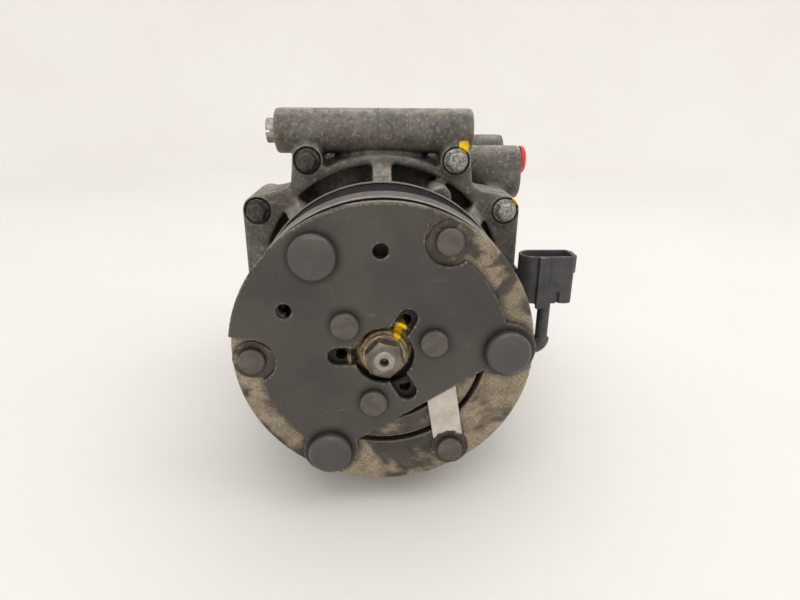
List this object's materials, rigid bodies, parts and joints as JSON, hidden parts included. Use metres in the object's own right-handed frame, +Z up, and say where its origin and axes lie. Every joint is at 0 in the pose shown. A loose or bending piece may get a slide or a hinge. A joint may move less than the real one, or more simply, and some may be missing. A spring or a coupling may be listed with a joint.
{
  "type": "automotive air-conditioning compressor",
  "caption": "Scroll compressor for vehicle air conditioning, with an electromagnetic clutch, multi-rib belt pulley, coil connector, hose ports and cross-drilled mounting tubes.",
  "frame": {"origin": "on the shaft axis, in the plane through the middle of the pulley's belt grooves", "axes": "+Z up, -Y out of the clutch's front along the shaft, +X along the mounting bolts towards the hose ports"},
  "size_m": [0.1604, 0.1892, 0.1525],
  "materials": {
    "cover_steel": "oxidised sheet steel, dull",
    "rivet_steel": "upset steel, brown-grey",
    "spring_steel": "bright spring strip",
    "armature_steel": "bare steel with light surface rust and dust",
    "pulley_paint": "black electro-coat, rubbed on the belt face",
    "plated_steel": "zinc plated, dulled",
    "bush_steel": "rolled steel strip",
    "cast_aluminium": "die cast, oxidised, oily grime",
    "machined_aluminium": "fine milled",
    "bearing_steel": "ground and polished",
    "shaft_steel": "turned and ground",
    "coil_steel": "black coated pressed steel",
    "copper_wire": "enamelled wire",
    "potting_resin": "cast resin",
    "cage_plastic": "moulded polyamide",
    "tip_seal_plastic": "filled low-friction plastic strip",
    "black_rubber": "moulded rubber",
    "connector_plastic": "glass-filled polyamide",
    "pink_rubber": "soft silicone",
    "terminal_brass": "tinned brass",
    "red_plastic": "soft moulded plastic"
  },
  "bodies": {
    "housing": {"front_housing": "cast_aluminium", "rear_housing": "cast_aluminium", "housing_seal": "black_rubber", "housing_bolts": "plated_steel", "fixed_scroll": "machined_aluminium", "fixed_tip_seal": "tip_seal_plastic", "coil_core": "coil_steel", "coil_winding": "copper_wire", "coil_potting": "potting_resin", "coil_snap_ring": "shaft_steel", "coil_connector": "connector_plastic", "connector_seal": "pink_rubber", "connector_terminals": "terminal_brass", "connector_bracket": "plated_steel", "bracket_screw": "plated_steel", "pulley_bearing_inner_race": "bearing_steel", "nose_snap_ring": "shaft_steel", "shaft_seal": "black_rubber", "seal_snap_ring": "shaft_steel", "front_needle_shell": "bearing_steel", "main_bearing_outer_race": "bearing_steel", "thrust_plate": "bearing_steel", "guide_pins": "bearing_steel", "discharge_reed": "spring_steel", "reed_stop": "spring_steel", "reed_screw": "plated_steel", "relief_valve": "plated_steel", "oil_plug": "plated_steel"},
    "rotor_pulley": {"pulley": "pulley_paint", "pulley_bearing_outer_race": "bearing_steel", "pulley_bearing_seals": "black_rubber"},
    "pulley_ball_set": {"pulley_bearing_balls": "bearing_steel", "pulley_bearing_cage": "cage_plastic"},
    "shaft": {"crankshaft": "shaft_steel", "hub": "cover_steel", "cover_plate": "cover_steel", "inner_rivets": "rivet_steel", "damper_caps": "cover_steel", "rubber_stops": "black_rubber", "leaf_springs": "spring_steel", "shaft_key": "shaft_steel", "shaft_nut": "plated_steel", "air_gap_shims": "spring_steel", "counterweight": "shaft_steel", "drive_bush": "shaft_steel", "main_bearing_inner_race": "bearing_steel"},
    "armature": {"armature_plate": "armature_steel", "outer_rivets": "rivet_steel"},
    "orbiter": {"orbiting_scroll": "machined_aluminium", "orbiting_tip_seal": "tip_seal_plastic", "orbit_bearing": "bearing_steel", "guide_rings": "bearing_steel"},
    "main_ball_set": {"main_bearing_balls": "bearing_steel", "main_bearing_cage": "cage_plastic"},
    "needle_set": {"front_needles": "bearing_steel"},
    "front_sleeve": {"front_mount_sleeve": "bush_steel"},
    "rear_sleeve": {"rear_mount_sleeve": "bush_steel"},
    "lower_sleeve": {"lower_mount_sleeve": "bush_steel"},
    "suction_plug": {"suction_dust_plug": "red_plastic"},
    "discharge_plug": {"discharge_dust_plug": "red_plastic"}
  },
  "joints": [
    {"name": "shaft_spin", "type": "hinge", "parent": "housing", "child": "shaft", "pos_m": [0, 0, 0], "axis": [0, 1, 0], "continuous": true},
    {"name": "pulley_spin", "type": "hinge", "parent": "housing", "child": "rotor_pulley", "pos_m": [0, 0, 0], "axis": [0, 1, 0], "continuous": true},
    {"name": "pulley_ball_spin", "type": "hinge", "parent": "housing", "child": "pulley_ball_set", "pos_m": [0, 0, 0], "axis": [0, 1, 0], "continuous": true},
    {"name": "main_ball_spin", "type": "hinge", "parent": "housing", "child": "main_ball_set", "pos_m": [0, 0, 0], "axis": [0, 1, 0], "continuous": true},
    {"name": "needle_spin", "type": "hinge", "parent": "housing", "child": "needle_set", "pos_m": [0, 0, 0], "axis": [0, 1, 0], "continuous": true},
    {"name": "orbit_counter_spin", "type": "hinge", "parent": "shaft", "child": "orbiter", "pos_m": [0.00425, 0.066, 0], "axis": [0, 1, 0], "continuous": true},
    {"name": "armature_pull", "type": "slide", "parent": "shaft", "child": "armature", "axis": [0, 1, 0], "range_m": [0, 0.00045], "stiffness_N_per_m": 8000, "springref_m": -0.0006, "deforming": ["leaf_springs"]},
    {"name": "front_sleeve_draw", "type": "slide", "parent": "housing", "child": "front_sleeve", "axis": [1, 0, 0], "range_m": [0, 0.004]},
    {"name": "rear_sleeve_draw", "type": "slide", "parent": "housing", "child": "rear_sleeve", "axis": [1, 0, 0], "range_m": [0, 0.004]},
    {"name": "lower_sleeve_draw", "type": "slide", "parent": "housing", "child": "lower_sleeve", "axis": [1, 0, 0], "range_m": [0, 0.004]},
    {"name": "suction_plug_pull", "type": "slide", "parent": "housing", "child": "suction_plug", "axis": [1, 0, 0], "range_m": [0, 0.03]},
    {"name": "discharge_plug_pull", "type": "slide", "parent": "housing", "child": "discharge_plug", "axis": [1, 0, 0], "range_m": [0, 0.03]}
  ],
  "couplings": [
    {"joint": "pulley_ball_spin", "follows": "pulley_spin", "ratio": 0.5627},
    {"joint": "main_ball_spin", "follows": "shaft_spin", "ratio": 0.3987},
    {"joint": "needle_spin", "follows": "shaft_spin", "ratio": 0.4436},
    {"joint": "orbit_counter_spin", "follows": "shaft_spin", "ratio": -1}
  ]
}
